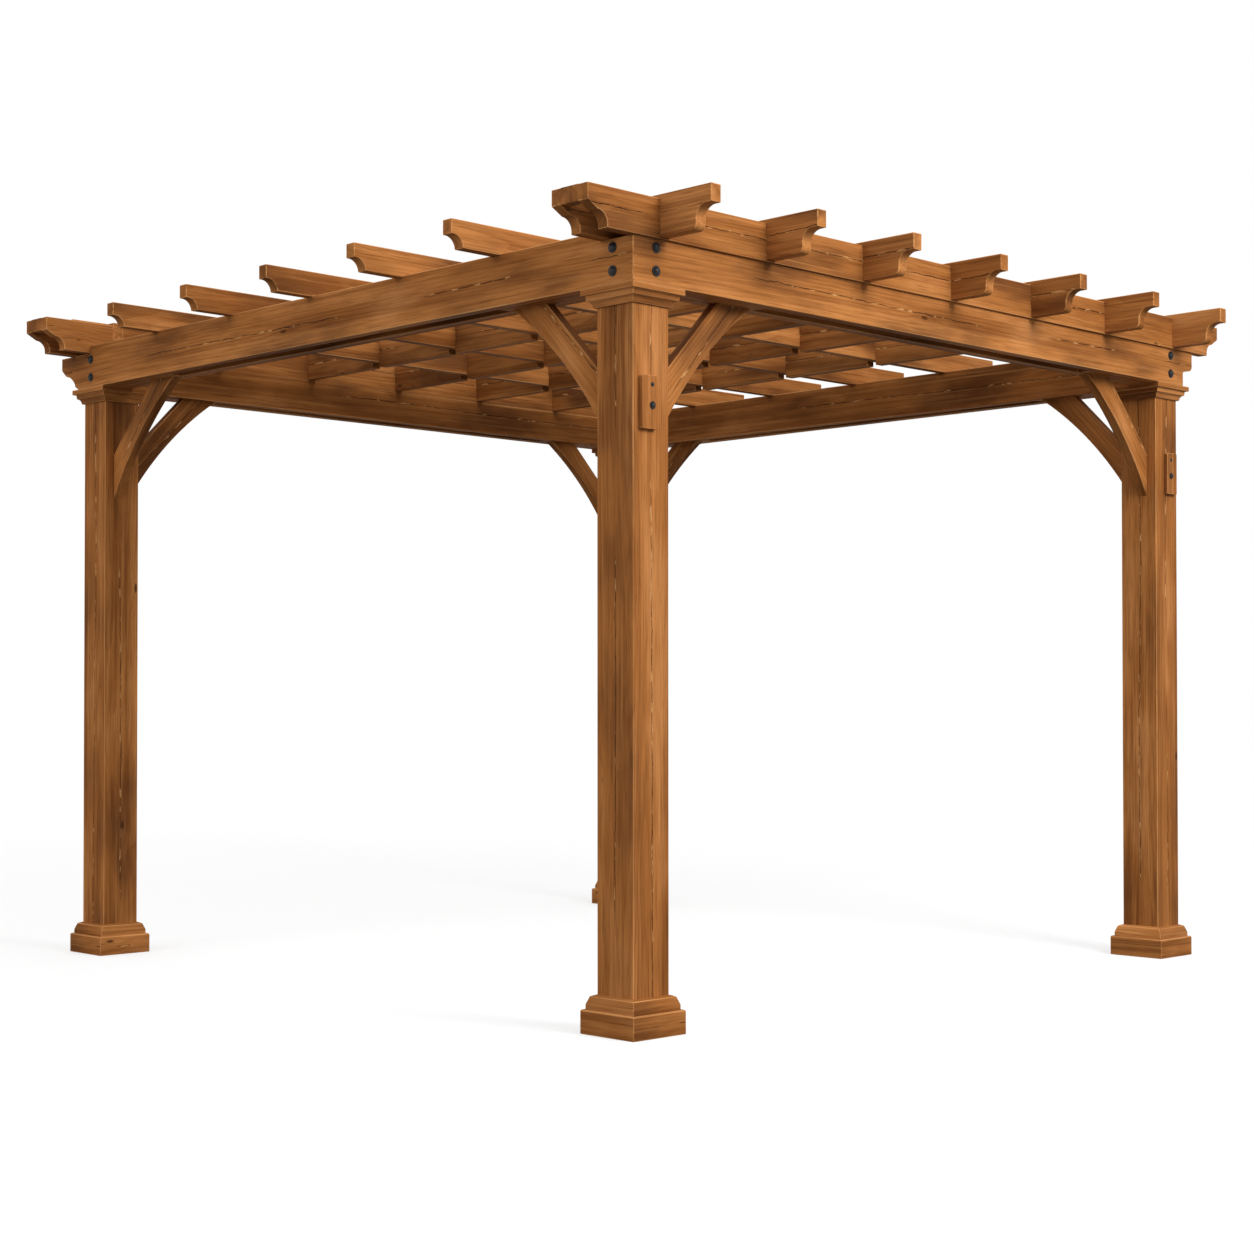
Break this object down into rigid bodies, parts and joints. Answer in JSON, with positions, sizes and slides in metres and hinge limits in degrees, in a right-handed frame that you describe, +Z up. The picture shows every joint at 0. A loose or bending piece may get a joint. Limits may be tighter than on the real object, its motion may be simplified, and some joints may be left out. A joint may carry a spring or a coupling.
{
  "type": "timber garden pergola",
  "caption": "Free-standing square timber pergola: trimmed posts, header beams, knee braces and an open half-lapped lattice roof with shaped tails.",
  "frame": {"origin": "on the ground, at the centre of the plan of the roof lattice", "axes": "+Z up; the front beam is at -Y and the right beam at +X; rafters run along Y and purlins along X"},
  "size_m": [3.558, 3.526, 2.494],
  "materials": {
    "post_timber": "stained, satin",
    "trim_timber": "stained, satin",
    "beam_timber": "stained, satin",
    "lattice_timber": "stained, satin",
    "rim_timber": "stained, satin",
    "brace_timber": "stained, satin"
  },
  "bodies": {
    "root": {"post_front_left": "post_timber", "post_front_right": "post_timber", "post_back_left": "post_timber", "post_back_right": "post_timber", "plinth_front_left": "trim_timber", "plinth_front_right": "trim_timber", "plinth_back_left": "trim_timber", "plinth_back_right": "trim_timber", "base_mouldings": "trim_timber", "capital_front_left": "trim_timber", "capital_front_right": "trim_timber", "capital_back_left": "trim_timber", "capital_back_right": "trim_timber", "beam_front": "beam_timber", "beam_back": "beam_timber", "beam_left": "beam_timber", "beam_right": "beam_timber", "rafter_1": "lattice_timber", "rafter_2": "lattice_timber", "rafter_3": "lattice_timber", "rafter_4": "lattice_timber", "rafter_5": "lattice_timber", "purlin_1": "lattice_timber", "purlin_2": "lattice_timber", "purlin_3": "lattice_timber", "purlin_4": "lattice_timber", "purlin_5": "lattice_timber", "corner_tails": "lattice_timber", "rim_left_outer": "rim_timber", "rim_left_inner": "rim_timber", "rim_right_outer": "rim_timber", "rim_right_inner": "rim_timber", "rim_end_blocks": "rim_timber", "rim_fillers": "rim_timber", "brace_front_beam_left": "brace_timber", "brace_front_beam_right": "brace_timber", "brace_back_beam_left": "brace_timber", "brace_back_beam_right": "brace_timber", "brace_left_beam_front": "brace_timber", "brace_left_beam_back": "brace_timber", "brace_right_beam_front": "brace_timber", "brace_right_beam_back": "brace_timber", "brace_blocks": "trim_timber"}
  },
  "joints": []
}
